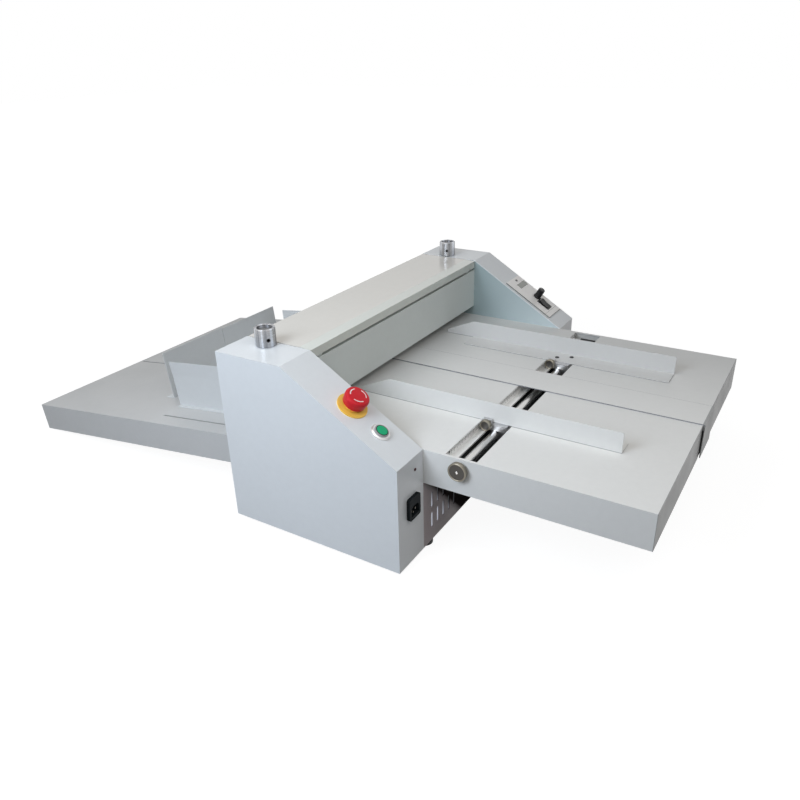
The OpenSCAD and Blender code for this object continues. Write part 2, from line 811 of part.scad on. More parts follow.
// the trough under the guide slot: two end plates that hold bar and rail, joined by a folded sheet
module bar_brackets() {
  color([0.68, 0.69, 0.71]) place() {
    for (side = [0, 1]) mirror([side, 0, 0]) along_x(bracket_out - bracket_t, bracket_out) difference() {
      polygon([
        [trough_y0, table_under], [trough_y0, trough_z], [trough_y1, trough_z], [trough_y1, table_under],
        [slot_near_y + 5, table_under], [slot_near_y + 5, rail_top_z - rail_t],
        [rail_y0 - 1, rail_top_z - rail_t], [rail_y0 - 1, bar_z + 10], [slot_far_y - 3, bar_z + 10],
        [slot_far_y - 3, table_under]]);
      translate([bar_y, bar_z]) circle(r = bar_r + run_gap);
    }
    box([-bracket_out, trough_y0, trough_z - trough_t], [bracket_out, trough_y1, trough_z]);
    box([-bracket_out, trough_y0, trough_z - trough_t], [bracket_out, trough_y0 + trough_t, bar_z]);
    box([-bracket_out, trough_y1 - trough_t, trough_z - trough_t], [bracket_out, trough_y1, bar_z]);
  }
}

rail_fold = 14;
scale_half = bracket_out - 4;

// the rail under the carriages, with the upright scale that is read through the slot
module ruler_rail() {
  color([0.78, 0.79, 0.8]) place() {
    box([-bar_half + 2, rail_y0, rail_top_z - rail_t], [bar_half - 2, rail_y1, rail_top_z]);
    box([-bracket_out + bracket_t, rail_y1 - rail_t, rail_top_z - rail_fold],
        [bracket_out - bracket_t, rail_y1, rail_top_z]);
    box([-scale_half, scale_y1 - scale_t, rail_top_z - rail_t], [scale_half, scale_y1, table_z - 1]);
  }
}

knob_stem_r = 4;
bar_travel = 6;
stem_in = -half_in + 34;

module guide_bar() {
  color([0.75, 0.76, 0.78]) place() difference() {
    bar_x(-bar_half, bar_half, bar_y, bar_z, bar_r);
    bar_x(-bar_half - over, stem_in + bar_travel + over, bar_y, bar_z, knob_stem_r + run_gap);
  }
}

knob_face_x = -half_in - 11;

module lateral_knob() {
  color([0.3, 0.3, 0.31]) place() {
    translate([knob_face_x, bar_y, bar_z]) rotate([0, 90, 0]) rotate_extrude()
      polygon([[0, 0.8], [lateral_r - 2.5, 0.8], [lateral_r - 1.8, 0], [lateral_r - 0.8, 0], [lateral_r, 0.8],
               [lateral_r, 7.2], [lateral_r - 0.8, 8], [7, 8], [7, 10.6], [0, 10.6]]);
    bar_x(knob_face_x + 5, stem_in, bar_y, bar_z, knob_stem_r);
  }
}

fence_y0 = -281;
fence_nose_y0 = 149;
fence_nose_y1 = 212;
flange_top_z = table_z + slide_gap + fence_t;

// an L-shaped guide: wall from w0 to w1, flange from f0 to f1
module fence(w0, w1, f0, f1) {
  along_x(w0, w1) polygon([
    [fence_y0, table_z + slide_gap], [fence_y0, table_z + fence_h], [fence_nose_y0, table_z + fence_h],
    [fence_nose_y1, table_z + 8], [fence_nose_y1, table_z + slide_gap]]);
  box([f0, fence_y0, table_z + slide_gap], [f1, fence_nose_y0, flange_top_z]);
}

module left_side_guide() {
  color([0.87, 0.88, 0.9]) place()
    fence(fence_left_x, fence_left_x + fence_t, fence_left_x, fence_left_x + fence_left_flange);
}

bolt_holes = [[-29.4, -54.7], [-15.5, -80.6]];
bolt_r = 2.7;

module right_side_guide() {
  color([0.87, 0.88, 0.9]) place() difference() {
    fence(fence_right_x - fence_t, fence_right_x, fence_right_x - fence_right_flange, fence_right_x);
    for (p = bolt_holes) translate([fence_right_x + p[0], p[1], table_z - over]) cylinder(h = 4, r = bolt_r);
  }
}

carriage_y0 = slot_far_y + 6;
carriage_y1 = scale_y1 - scale_t - 0.8;
carriage_mid_y = rail_y0 - 3.5;
lug_w = 8;

// a carriage under a guide: body from x0 to x1, upright lug just outside x0
module carriage(x0, x1) {
  difference() {
    union() {
      box([x0, carriage_y0, bar_z - 12], [x1, carriage_mid_y, table_z + slide_gap]);
      box([x0, carriage_y0, rail_top_z + loose_gap], [x1, carriage_y1, table_z + slide_gap]);
      box([x0 - lug_w, carriage_y0, rail_top_z + loose_gap], [x0, carriage_y1, table_z + slide_gap]);
      box([x0 - lug_w, wheel_y - 8, rail_top_z + loose_gap], [x0 - loose_gap, wheel_y + 8, wheel_z + 8]);
    }
    bar_x(x0 - over, x1 + over, bar_y, bar_z, bar_r + run_gap);
    bar_x(x0 - lug_w - over, x0, wheel_y, wheel_z - 0.5, stem_r + run_gap);
  }
}

// a knurled clamping wheel whose stem runs into the lug of the carriage that starts at x0
module clamp_wheel(x0) {
  translate([x0 - lug_w - turn_gap - wheel_w, wheel_y, wheel_z - 0.5]) rotate([0, 90, 0]) rotate_extrude()
    polygon([[0, 0.8], [wheel_r - 2.2, 0.8], [wheel_r - 1.6, 0], [wheel_r - 0.8, 0], [wheel_r, 0.8],
             [wheel_r, wheel_w - 0.8], [wheel_r - 0.8, wheel_w], [0, wheel_w]]);
  bar_x(x0 - lug_w - turn_gap - over, x0 - over, wheel_y, wheel_z - 0.5, stem_r);
}

left_carriage_x0 = fence_left_x - 0.4;
right_carriage_x0 = fence_right_x - fence_right_flange - 0.6;

module left_carriage() {
  color([0.5, 0.5, 0.52]) place() carriage(left_carriage_x0, fence_left_x + fence_left_flange - 2);
}

module right_carriage() {
  color([0.5, 0.5, 0.52]) place() difference() {
    carriage(right_carriage_x0, fence_right_x - 10);
    for (p = bolt_holes) translate([fence_right_x + p[0], p[1], table_z - 9]) cylinder(h = 12, r = bolt_r);
  }
}

module left_clamp_wheel() {
  color([0.3, 0.3, 0.3]) place() clamp_wheel(left_carriage_x0);
}

module right_clamp_wheel() {
  color([0.3, 0.3, 0.3]) place() clamp_wheel(right_carriage_x0);
}

// ---------- delivery tray ----------

stop_slot_x = 44;
side_slot_x = 300;
right_side_slot_x = 170.5;
stop_slot = [170, 648];
side_slot = [28, 278];

module tray_slot(x, v) box([x - tray_slot_w / 2, v[0], -tray_t - over], [x + tray_slot_w / 2, v[1], over]);

module delivery_tray() {
  color([0.87, 0.88, 0.88]) place() intersection() {
    on_tray(0, 0) {
      difference() {
        box([-tray_w / 2, -20, -tray_t], [tray_w / 2, tray_len, 0]);
        for (x = [-stop_slot_x, stop_slot_x]) tray_slot(x, stop_slot);
        tray_slot(-side_slot_x, side_slot);
        tray_slot(right_side_slot_x, side_slot);
      }
      box([-tray_w / 2, -20, -tray_skirt], [-tray_w / 2 + tray_t, tray_len, 0]);
      box([tray_w / 2 - tray_t, -20, -tray_skirt], [tray_w / 2, tray_len, 0]);
      box([-tray_w / 2, tray_len - tray_t, -tray_skirt], [tray_w / 2, tray_len, 0]);
      box([-tray_w / 2, 9, -tray_skirt], [tray_w / 2, 9 + tray_t, 0]);
    }
    box([-tray_w, housing_d, 0], [tray_w, housing_d + 2 * tray_reach, top_z]);
  }
}

tab_w = tray_slot_w - 0.4;
tab_h = 7;
keeper_half = 8;
wall_t = 1.5;

// a sliding tab that hangs through a tray slot at x, from v0 to v1, with its keeper below
module slot_tab(x, v0, v1) {
  box([x - tab_w / 2, v0, -tray_t - tab_h], [x + tab_w / 2, v1, slide_gap + wall_t]);
  box([x - keeper_half, v0, -tray_t - tab_h], [x + keeper_half, v1, -tray_t - turn_gap]);
}

left_stop_x0 = -220;
left_stop_x1 = -40;
right_stop_x0 = -38.5;
right_stop_x1 = 144;
stop_foot = 24;
stop_tab_v0 = 2;
stop_tab_v1 = 22;

module left_end_stop() {
  color([0.84, 0.86, 0.87]) place() on_tray(0, stop_v) {
    box([left_stop_x0, 0, slide_gap], [left_stop_x1, wall_t, stop_h]);
    box([left_stop_x0, 0, slide_gap], [left_stop_x1, stop_foot, slide_gap + wall_t]);
    slot_tab(-stop_slot_x, stop_tab_v0, stop_tab_v1);
  }
}

module right_end_stop() {
  color([0.84, 0.86, 0.87]) place() on_tray(0, stop_v) {
    box([right_stop_x0, 0, slide_gap], [right_stop_x1, wall_t, stop_h - 2.5]);
    box([right_stop_x0, 0, slide_gap], [right_stop_x1, stop_foot, slide_gap + wall_t]);
    slot_tab(stop_slot_x, stop_tab_v0, stop_tab_v1);
  }
}

tray_guide_v0 = 45;
tray_guide_v1 = 282.3;
tray_arm_w = 28;
flare = 2;
flare_h = 30;

// an upright sheet guide at x = 0 with a foot that reaches out to its slot at -reach
module tray_guide(reach) {
  along_y(tray_guide_v0, tray_guide_v1) polygon([
    [0, slide_gap], [0, side_h - flare_h], [-flare, side_h], [-flare - wall_t, side_h],
    [-wall_t, side_h - flare_h], [-wall_t, slide_gap + wall_t], [-9, slide_gap + wall_t], [-9, slide_gap]]);
  box([-reach - 8, tray_guide_v0, slide_gap], [-1, tray_guide_v0 + tray_arm_w, slide_gap + wall_t]);
  slot_tab(-reach, tray_guide_v0 + 4, tray_guide_v0 + tray_arm_w - 4);
}

left_guide_x = -247.5;
right_guide_x = 118;

module left_tray_guide() {
  color([0.84, 0.86, 0.87]) place() on_tray(left_guide_x, 0) tray_guide(side_slot_x + left_guide_x);
}

module right_tray_guide() {
  color([0.84, 0.86, 0.87]) place()
    on_tray(right_guide_x, 0) mirror([1, 0, 0]) tray_guide(right_side_slot_x - right_guide_x);
}

// ---------- switches and displays ----------

inlet_w = 34.6;
inlet_h = 41;
inlet_rise = 6;
inlet_depth = 30;
inlet_corner = 5;

module mains_inlet() {
  color([0.06, 0.06, 0.07]) place() difference() {
    union() {
      along_y(-inlet_rise, 0) translate([inlet_x, inlet_z]) {
        square([inlet_w - 2 * inlet_corner, inlet_h], center = true);
        square([inlet_w, inlet_h - 2 * inlet_corner], center = true);
        for (x = [-1, 1], z = [-1, 1])
          translate([x * (inlet_w / 2 - inlet_corner), z * (inlet_h / 2 - inlet_corner)])
            circle(r = inlet_corner);
      }
      box([inlet_x - inlet_cut_w / 2, -over, inlet_z - inlet_cut_h / 2],
          [inlet_x + inlet_cut_w / 2, inlet_depth, inlet_z + inlet_cut_h / 2]);
    }
    along_y(-inlet_rise - over, 12) polygon([
      [inlet_x - 12, inlet_z - 14], [inlet_x + 12, inlet_z - 14], [inlet_x + 12, inlet_z],
      [inlet_x + 7.5, inlet_z + 4.5], [inlet_x - 7.5, inlet_z + 4.5], [inlet_x - 12, inlet_z]]);
  }
}

module power_lamp() {
  color([0.3, 0.05, 0.04]) place() translate([lamp_x, 6, lamp_z]) rotate([90, 0, 0]) {
    cylinder(h = 7.2, r = lamp_r);
    cylinder(h = 4, r = lamp_r + 1.5);
  }
}

estop_stem_r = 9;
stop_travel = 5;
head_hollow_r = 15.5;
skirt_z = 2 + stop_travel + 0.5;

module estop_ring() {
  color([0.95, 0.78, 0.1]) place() on_slope(estop_x, estop_s) difference() {
    union() {
      cylinder(h = 2, r = estop_ring_r);
      cylinder(h = 7, r = 14.5);
      translate([0, 0, -10]) cylinder(h = 11, r = estop_hole_r);
    }
    translate([0, 0, -12]) cylinder(h = 24, r = estop_stem_r + run_gap);
  }
}

module estop_stem() {
  color([0.1, 0.1, 0.1]) place() on_slope(estop_x, estop_s)
    translate([0, 0, -20]) cylinder(h = 20 + estop_h - 9, r = estop_stem_r);
}

module estop_head() {
  color([0.8, 0.05, 0.05]) place() on_slope(estop_x, estop_s) difference() {
    rotate_extrude() polygon([
      [0, estop_h - 13], [head_hollow_r, estop_h - 13], [head_hollow_r, skirt_z], [estop_head_r - 2.2, skirt_z],
      [estop_head_r - 1.4, skirt_z + 1], [estop_head_r, estop_h - 8], [estop_head_r, estop_h - 4],
      [estop_head_r - 0.8, estop_h - 1.8], [estop_head_r - 2.6, estop_h - 0.4], [estop_head_r - 5, estop_h],
      [0, estop_h + 0.6]]);
    translate([0, 0, estop_h - 14]) cylinder(h = 5 + run_gap, r = estop_stem_r + run_gap);
  }
}

start_cap_r = 12.2;
start_lens_r = 9.2;
start_travel = 3;

module start_bezel() {
  color([0.82, 0.83, 0.84]) place() on_slope(start_x, start_s) difference() {
    union() {
      rotate_extrude() polygon([[0, 0], [start_bezel_r, 0], [start_bezel_r, 1.5], [start_bezel_r - 2.2, 3.6],
                                [start_cap_r + 0.3, 3.6], [0, 3.6]]);
      translate([0, 0, -22]) cylinder(h = 23, r = start_hole_r);
    }
    translate([0, 0, -start_travel - 1]) cylinder(h = 12, r = start_cap_r - 2);
    translate([0, 0, -0.5]) cylinder(h = 12, r = start_cap_r + run_gap);
  }
}

module start_button() {
  color([0.05, 0.6, 0.35]) place() on_slope(start_x, start_s)
    rotate_extrude() polygon([[0, 0], [start_lens_r, 0], [start_lens_r, start_travel], [start_cap_r, start_travel],
                              [start_cap_r, start_travel + 2], [start_cap_r - 1, start_travel + 2.6],
                              [start_lens_r + 0.2, start_travel + 2.6], [start_lens_r, start_travel + 3.2],
                              [0, start_travel + 3.6]]);
}

module control_panel() {
  color([0.92, 0.91, 0.9]) place() difference() {
    on_slope(0, 0) box([panel_x0, panel_s0, 0], [panel_x1, panel_s1, panel_t]);
    control_holes(0);
    on_slope(window_x, window_s) box([-window_w / 2, -window_l / 2, 0.6], [window_w / 2, window_l / 2, 4]);
  }
}

module display_window() {
  color([0.45, 0.47, 0.42]) place() on_slope(window_x, window_s)
    box([-window_w / 2, -window_l / 2, 0.6], [window_w / 2, window_l / 2, panel_t + 0.4]);
}

module speed_knob() {
  color([0.05, 0.05, 0.05]) place() on_slope(speed_x, speed_s) {
    rotate_extrude() polygon([[0, panel_t + 0.4], [speed_r, panel_t + 0.4], [speed_r, panel_t + 3],
                              [speed_r - 1, panel_t + 4], [speed_r - 1.4, speed_h - 1], [speed_r - 2.4, speed_h],
                              [0, speed_h]]);
    translate([0, 0, -14]) cylinder(h = 16, r = speed_stem_r);
  }
}

rocker_tilt = 7;

module rocker_switch() {
  color([0.04, 0.04, 0.04]) place() on_slope(rocker_x, rocker_s)
    translate([0, 0, panel_t + 1]) rotate([rocker_tilt, 0, 0])
      along_x(-rocker_w / 2, rocker_w / 2) polygon([
        [-rocker_l / 2 + 1, 0], [-rocker_l / 2 + 1, 3], [0, 1.5], [rocker_l / 2 - 1, 3],
        [rocker_l / 2 - 1, 0], [6, -7], [-6, -7]]);
}

module reset_button() {
  color([0.3, 0.3, 0.3]) place() on_slope(reset_x, reset_s)
    translate([0, 0, -6]) cylinder(h = 6 + panel_t + 1.5, r = reset_r);
}

base_plate();
left_housing();
right_housing();
left_side_frame();
right_side_frame();
vent_panel();
rear_panel();
front_guard();
rear_guard();
top_cover();
cover_hinge_pins();
left_feed_table();
centre_strip();
right_feed_table();
bar_brackets();
ruler_rail();
delivery_tray();
rubber_feet();
mains_inlet();
power_lamp();
estop_ring();
estop_stem();
estop_head();
start_bezel();
start_button();
control_panel();
display_window();
speed_knob();
rocker_switch();
reset_button();
drive_motor();
motor_pulley();
drive_belt();
shaft_pulley();
control_board();
lower_shaft();
anvil_rings();
lower_gear();
lower_bearings();
upper_shaft();
creasing_rings();
feed_rings();
upper_gear();
upper_bearing_blocks();
left_pressure_knob();
left_pressure_screw();
right_pressure_knob();
right_pressure_screw();
guide_bar();
lateral_knob();
left_side_guide();
left_carriage();
left_clamp_wheel();
right_side_guide();
right_carriage();
right_clamp_wheel();
left_end_stop();
right_end_stop();
left_tray_guide();
right_tray_guide();
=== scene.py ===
"""Desktop paper creasing machine: materials, small details, camera and light."""
import math

import bpy
import bmesh
from mathutils import Matrix, Vector


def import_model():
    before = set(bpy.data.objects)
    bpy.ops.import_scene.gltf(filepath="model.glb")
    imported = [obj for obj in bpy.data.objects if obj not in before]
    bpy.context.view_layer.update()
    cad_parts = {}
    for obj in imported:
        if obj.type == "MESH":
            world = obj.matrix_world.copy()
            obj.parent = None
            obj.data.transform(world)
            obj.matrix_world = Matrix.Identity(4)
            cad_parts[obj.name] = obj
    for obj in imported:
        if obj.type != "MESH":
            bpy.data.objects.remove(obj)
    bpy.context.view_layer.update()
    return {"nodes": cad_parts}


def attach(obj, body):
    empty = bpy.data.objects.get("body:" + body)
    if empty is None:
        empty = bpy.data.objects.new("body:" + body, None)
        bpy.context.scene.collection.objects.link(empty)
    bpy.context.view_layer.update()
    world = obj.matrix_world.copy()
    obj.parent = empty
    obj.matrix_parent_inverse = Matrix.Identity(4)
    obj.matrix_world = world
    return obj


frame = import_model()
NODES = frame["nodes"]

# ---------- directions and places, in metres, in the CAD's own frame ----------
X, Y, Z = Vector((1, 0, 0)), Vector((0, 1, 0)), Vector((0, 0, 1))

# the housings' sloping face: its angle, the way out of it and the way up along it
SLOPE = math.atan(131.0 / 216.0)
SLOPE_N = Vector((0, -math.sin(SLOPE), math.cos(SLOPE)))
SLOPE_UP = Vector((0, math.cos(SLOPE), math.sin(SLOPE)))
SLOPE_FRAME = Matrix.Rotation(SLOPE, 4, "X")

FRONT_Y = -0.316
TABLE_Z = 0.209
SHAFT_Y = -0.019
KNOB_X, KNOB_Z = 0.3282, 0.34
BAR_Y = -0.3825
BAR_Z = 0.190
GUIDE_TOP_Z = TABLE_Z + 0.0016
END_Y = FRONT_Y - 0.372
RIDGE_Y = FRONT_Y + 0.216
STRIP_MID, STRIP_HALF = 0.024, 0.0395
RIGHT_GUIDE_X = 0.176
# from the right guide's middle and the front
GUIDE_SCREWS = ((-0.0294, -0.0547), (-0.0155, -0.0806))
INLET_X, INLET_Z = -0.3487, 0.1150
LOWER_SHAFT_Z, UPPER_SHAFT_Z = 0.184, 0.234
LATERAL_SCREW = (-0.3223, BAR_Y, BAR_Z)
MOTOR_SHAFT = (0, FRONT_Y + 0.15, 0.095)
CLAMP_AXIS = (FRONT_Y - 0.0515, 0.2075)


def on_slope(x, up, out=0.0):
    """A point on the sloping face of a housing, given in millimetres."""
    y = FRONT_Y + (up * math.cos(SLOPE) - out * math.sin(SLOPE)) / 1000
    z = TABLE_Z + (up * math.sin(SLOPE) + out * math.cos(SLOPE)) / 1000
    return Vector((x / 1000, y, z))


# ---------- camera ----------
def make_camera():
    """The photo's own view, solved from the machine's straight edges."""
    az, el, roll = math.radians(57.99), math.radians(25.93), math.radians(-1.53)
    focus_px, image_px, sensor = 736.8, 800.0, 36.0
    place = Vector((-1.2056, -0.8338, 0.8001))
    ahead = Vector((math.sin(az) * math.cos(el), math.cos(az) * math.cos(el), -math.sin(el)))
    right0 = Vector((math.cos(az), -math.sin(az), 0))
    up0 = right0.cross(ahead)
    right = right0 * math.cos(roll) + up0 * math.sin(roll)
    up = up0 * math.cos(roll) - right0 * math.sin(roll)
    data = bpy.data.cameras.new("camera")
    data.sensor_width = sensor
    data.lens = sensor * focus_px / image_px
    data.clip_end = 50
    cam = bpy.data.objects.new("camera", data)
    m = Matrix((right, up, -ahead)).transposed().to_4x4()
    m.translation = place
    cam.matrix_world = m
    bpy.context.scene.collection.objects.link(cam)
    bpy.context.scene.camera = cam


make_camera()


# ---------- node helpers ----------
class Tree:
    """Short calls for the nodes of a material or of the world."""

    def __init__(self, owner):
        owner.use_nodes = True
        self.nt = owner.node_tree
        self.nt.nodes.clear()

    def new(self, kind, **values):
        """A new node; a keyword fills the input of that name, with _ for a space."""
        node = self.nt.nodes.new(kind)
        for name, value in values.items():
            self.put(node.inputs[name.replace("_", " ")], value)
        return node

    def put(self, socket, value):
        """Gives an input a number, a colour or another node's output."""
        if isinstance(value, bpy.types.NodeSocket):
            self.nt.links.new(value, socket)
        else:
            socket.default_value = value

    def math(self, op, a, b=0.0):
        """One step of arithmetic."""
        node = self.new("ShaderNodeMath")
        node.operation = op
        self.put(node.inputs[0], a)
        self.put(node.inputs[1], b)
        return node.outputs[0]

    def vmath(self, op, a, b=None, out=0):
        """One step of arithmetic with vectors; out=1 asks for a number."""
        node = self.new("ShaderNodeVectorMath")
        node.operation = op
        self.put(node.inputs[0], a)
        if b is not None:
            self.put(node.inputs[1], b)
        return node.outputs[out]

    def ramp(self, fac, lo, hi, from_lo=0.3, from_hi=0.7, smooth=False):
        """Goes from lo to hi while fac goes from from_lo to from_hi, and stays there."""
        node = self.new("ShaderNodeMapRange", Value=fac, From_Min=from_lo, From_Max=from_hi,
                        To_Min=lo, To_Max=hi)
        if smooth:
            node.interpolation_type = "SMOOTHSTEP"
        return node.outputs["Result"]

    def seen(self):
        """1 for the camera's own rays and for rays by way of metal or glass."""
        path = self.new("ShaderNodeLightPath").outputs
        direct = self.math("MAXIMUM", path["Is Camera Ray"], path["Is Glossy Ray"])
        return self.math("MAXIMUM", direct, path["Is Transmission Ray"])


# sockets of the colour mix node
MIX_UNDER, MIX_OVER, MIX_RESULT = 6, 7, 2


class Mat(Tree):
    """A Principled material whose colour, roughness and bump come from nodes."""

    def __init__(self, name, color, rough=0.45, metal=0.0, coat=0.0, coat_rough=0.1, spec=0.5):
        self.mat = bpy.data.materials.new(name)
        super().__init__(self.mat)
        self.bsdf = self.new("ShaderNodeBsdfPrincipled", Metallic=metal, Roughness=rough, Coat_Weight=coat,
                             Coat_Roughness=coat_rough, Specular_IOR_Level=spec)
        self.new("ShaderNodeOutputMaterial", Surface=self.bsdf.outputs[0])
        self.coord = self.new("ShaderNodeTexCoord").outputs["Object"]
        self.color = self.rgb(color)
        self.normal = None

    def set(self, socket, value):
        """Fills an input of the Principled node."""
        self.put(self.bsdf.inputs[socket], value)

    @staticmethod
    def rgb(color):
        return (color[0], color[1], color[2], 1.0)

    def noise(self, scale, stretch=(1, 1, 1), detail=2.0, vector=None):
        """Soft noise from 0 to 1, finer with a larger scale."""
        vector = self.coord if vector is None else vector
        vec = self.vmath("MULTIPLY", vector, tuple(scale * s for s in stretch))
        return self.new("ShaderNodeTexNoise", Vector=vec, Scale=1.0, Detail=detail).outputs["Fac"]

    def tint(self, fac, color):
        """Lays a colour over what is there, where fac is 1."""
        node = self.new("ShaderNodeMix")
        node.data_type = "RGBA"
        self.put(node.inputs["Factor"], fac)
        self.put(node.inputs[MIX_UNDER], self.color)
        self.put(node.inputs[MIX_OVER], self.rgb(color))
        self.color = node.outputs[MIX_RESULT]

    def vary(self, scale, amount):
        """Makes the colour a little lighter and darker with a noise."""
        gain = self.ramp(self.noise(scale, detail=3.0), 1.0 - amount, 1.0 + amount)
        if isinstance(self.color, tuple):
            base = self.new("ShaderNodeRGB")
            base.outputs[0].default_value = self.color
            self.color = base.outputs[0]
        node = self.new("ShaderNodeVectorMath")
        node.operation = "SCALE"
        self.put(node.inputs[0], self.color)
        self.put(node.inputs["Scale"], gain)
        self.color = node.outputs[0]

    def rough(self, lo, hi, scale=30.0):
        """Lets the gloss change softly from place to place."""
        self.set("Roughness", self.ramp(self.noise(scale), lo, hi))

    def bump(self, height, strength, distance):
        """Adds small relief on top of the relief that is there."""
        node = self.new("ShaderNodeBump", Height=height, Strength=strength, Distance=distance)
        if self.normal is not None:
            self.put(node.inputs["Normal"], self.normal)
        self.normal = node.outputs[0]

    def axis_distance(self, point, direction):
        """Distance in metres from a line through point along direction."""
        rel = self.vmath("SUBTRACT", self.coord, tuple(point))
        across = self.vmath("CROSS_PRODUCT", rel, tuple(Vector(direction).normalized()))
        return self.vmath("LENGTH", across, out=1)

    def along(self, direction, point=(0, 0, 0)):
        """Distance in metres from point, measured along direction."""
        rel = self.vmath("SUBTRACT", self.coord, tuple(point))
        return self.vmath("DOT_PRODUCT", rel, tuple(Vector(direction).normalized()), out=1)

    def done(self):
        """Joins colour and relief to the Principled node and hands out the material."""
        self.set("Base Color", self.color)
        if self.normal is not None:
            self.set("Normal", self.normal)
        return self.mat


def dress(obj, mat):
    """Gives an object one material."""
    obj.data.materials.clear()
    obj.data.materials.append(mat)


def wear(names, mat):
    """Puts a material on one CAD node, or on several named in one string."""
    for name in names.split():
        dress(NODES[name], mat)


# ---------- materials ----------
def paint(name, color, rough=(0.36, 0.46), grain=0.05, coat=0.0):
    """Fine powder coat: small bumps, faint clouds of colour and gloss."""
    m = Mat(name, color, coat=coat, coat_rough=0.18, spec=0.35)
    m.vary(5.0, 0.012)
    m.vary(90.0, 0.01)
    m.rough(rough[0], rough[1], 14.0)
    m.bump(m.noise(850.0, detail=3.0), grain, 0.0006)
    m.bump(m.noise(2.2, detail=1.0), 0.10, 0.004)
    return m


def plastic(name, color, rough=(0.3, 0.42), grain=0.12, scale=1600.0):
    """Moulded plastic or rubber with a fine grain."""
    m = Mat(name, color)
    m.vary(60.0, 0.05)
    m.rough(rough[0], rough[1], 60.0)
    m.bump(m.noise(scale, detail=2.0), grain, 0.0003)
    return m


TOOL_RINGS = 2600.0


def lathe_metal(name, color, point, direction, rough=(0.2, 0.34), depth=0.12):
    """Turned metal: fine tool rings round an axis, along its length and across its face."""
    m = Mat(name, color, metal=1.0)
    radius = m.axis_distance(point, direction)
    height = m.along(direction, point)
    combine = m.new("ShaderNodeCombineXYZ")
    m.put(combine.inputs[0], m.math("MULTIPLY", radius, TOOL_RINGS))
    m.put(combine.inputs[1], m.math("MULTIPLY", height, TOOL_RINGS))
    rings_fac = m.noise(1.0, detail=2.0, vector=combine.outputs[0])
    m.vary(40.0, 0.04)
    m.set("Roughness", m.ramp(rings_fac, rough[0], rough[1]))
    m.bump(rings_fac, depth, 0.0004)
    return m


def brushed(name, color, stretch, rough=(0.25, 0.4)):
    """Drawn or brushed metal with scratches along one axis."""
    m = Mat(name, color, metal=1.0)
    fac = m.noise(900.0, stretch, 3.0)
    m.vary(25.0, 0.04)
    m.set("Roughness", m.ramp(fac, rough[0], rough[1]))
    m.bump(fac, 0.08, 0.0003)
    return m


PALE = (0.735, 0.765, 0.79)
TABLE = (0.755, 0.76, 0.75)
COVER = (0.70, 0.68, 0.635)
GREY_PAINT = (0.70, 0.745, 0.73)
DARK_PANEL = (0.42, 0.355, 0.365)


def side_shade(m, start, end, color):
    """The photo's surfaces turn a little darker towards the right."""
    m.set("Specular IOR Level", 0.22)
    # painted shade: the colour darkens towards the right, where less light falls
    m.tint(m.ramp(m.along(X), 0.0, 0.42, start, end), color)


def table_shade(m):
    """Feed tables: painted shade on a darker right side and on a darker upright end."""
    side_shade(m, -0.02, 0.36, (0.40, 0.41, 0.415))
    # painted shade on the upright end face
    end = m.ramp(m.along(Y), 0.85, 0.0, END_Y + 0.0006, END_Y + 0.0010)
    m.tint(end, (0.26, 0.265, 0.265))
    return m


def strip_mat():
    """Centre strip, with a thin dark line of painted shade along both long edges, in the seams to the
    tables.
    """
    m = paint("paint_strip", TABLE, rough=(0.32, 0.42))
    middle = m.math("ABSOLUTE", m.math("SUBTRACT", m.along(X), STRIP_MID))
    m.tint(m.math("GREATER_THAN", middle, STRIP_HALF - 0.0005), (0.27, 0.28, 0.30))
    return table_shade(m).done()


def side_guide_mat():
    """Side guides, darker to the right as painted shade, with a dark line of painted shadow where the
    flange meets the table.
    """
    m = paint("paint_side_guides", TABLE, rough=(0.32, 0.42))
    side_shade(m, -0.05, 0.25, (0.40, 0.41, 0.43))
    m.tint(m.ramp(m.along(Z), 0.8, 0.0, TABLE_Z + 0.0009, TABLE_Z + 0.0013), (0.25, 0.26, 0.27))
    return m.done()


def cover_mat():
    """Glossier warm paint, a little greener on the sloping front band."""
    m = paint("paint_cover", COVER, rough=(0.16, 0.24), grain=0.03, coat=0.35)
    m.tint(m.ramp(m.along(Y), 0.8, 0.0, RIDGE_Y + 0.022, RIDGE_Y + 0.026), (0.70, 0.745, 0.70))
    return m.done()


def side_frame_mat():
    """Bluish inner walls with painted shade: dark all over, and darker towards the crossbeam."""
    m = paint("paint_side_frames", (0.56, 0.65, 0.68))
    m.tint(m.ramp(m.along(Y), 0.0, 1.0, -0.28, -0.12), (0.35, 0.44, 0.46))
    return m.done()


def under_table(m):
    """How far a point of the vent panel lies up and inwards, under the tables."""
    return m.math("SUBTRACT", m.along(Z), m.math("ABSOLUTE", m.along(X)))


def vent_mat():
    """Pinkish grey panel with painted shade that makes it nearly black deep under the tables, where it
    also mirrors less.
    """
    m = paint("paint_vent", DARK_PANEL, rough=(0.4, 0.5))
    m.tint(m.ramp(under_table(m), 0.0, 0.93, -0.176, -0.156, smooth=True), (0.02, 0.013, 0.011))
    m.set("Specular IOR Level", m.ramp(under_table(m), 0.25, 0.0, -0.18, -0.156))
    return m.done()


wear("left_housing right_housing", paint("paint_pale", PALE, rough=(0.28, 0.36), coat=0.12).done())
wear("left_feed_table right_feed_table",
     table_shade(paint("paint_table", TABLE, rough=(0.32, 0.42))).done())
wear("left_side_guide right_side_guide", side_guide_mat())
wear("centre_strip", strip_mat())
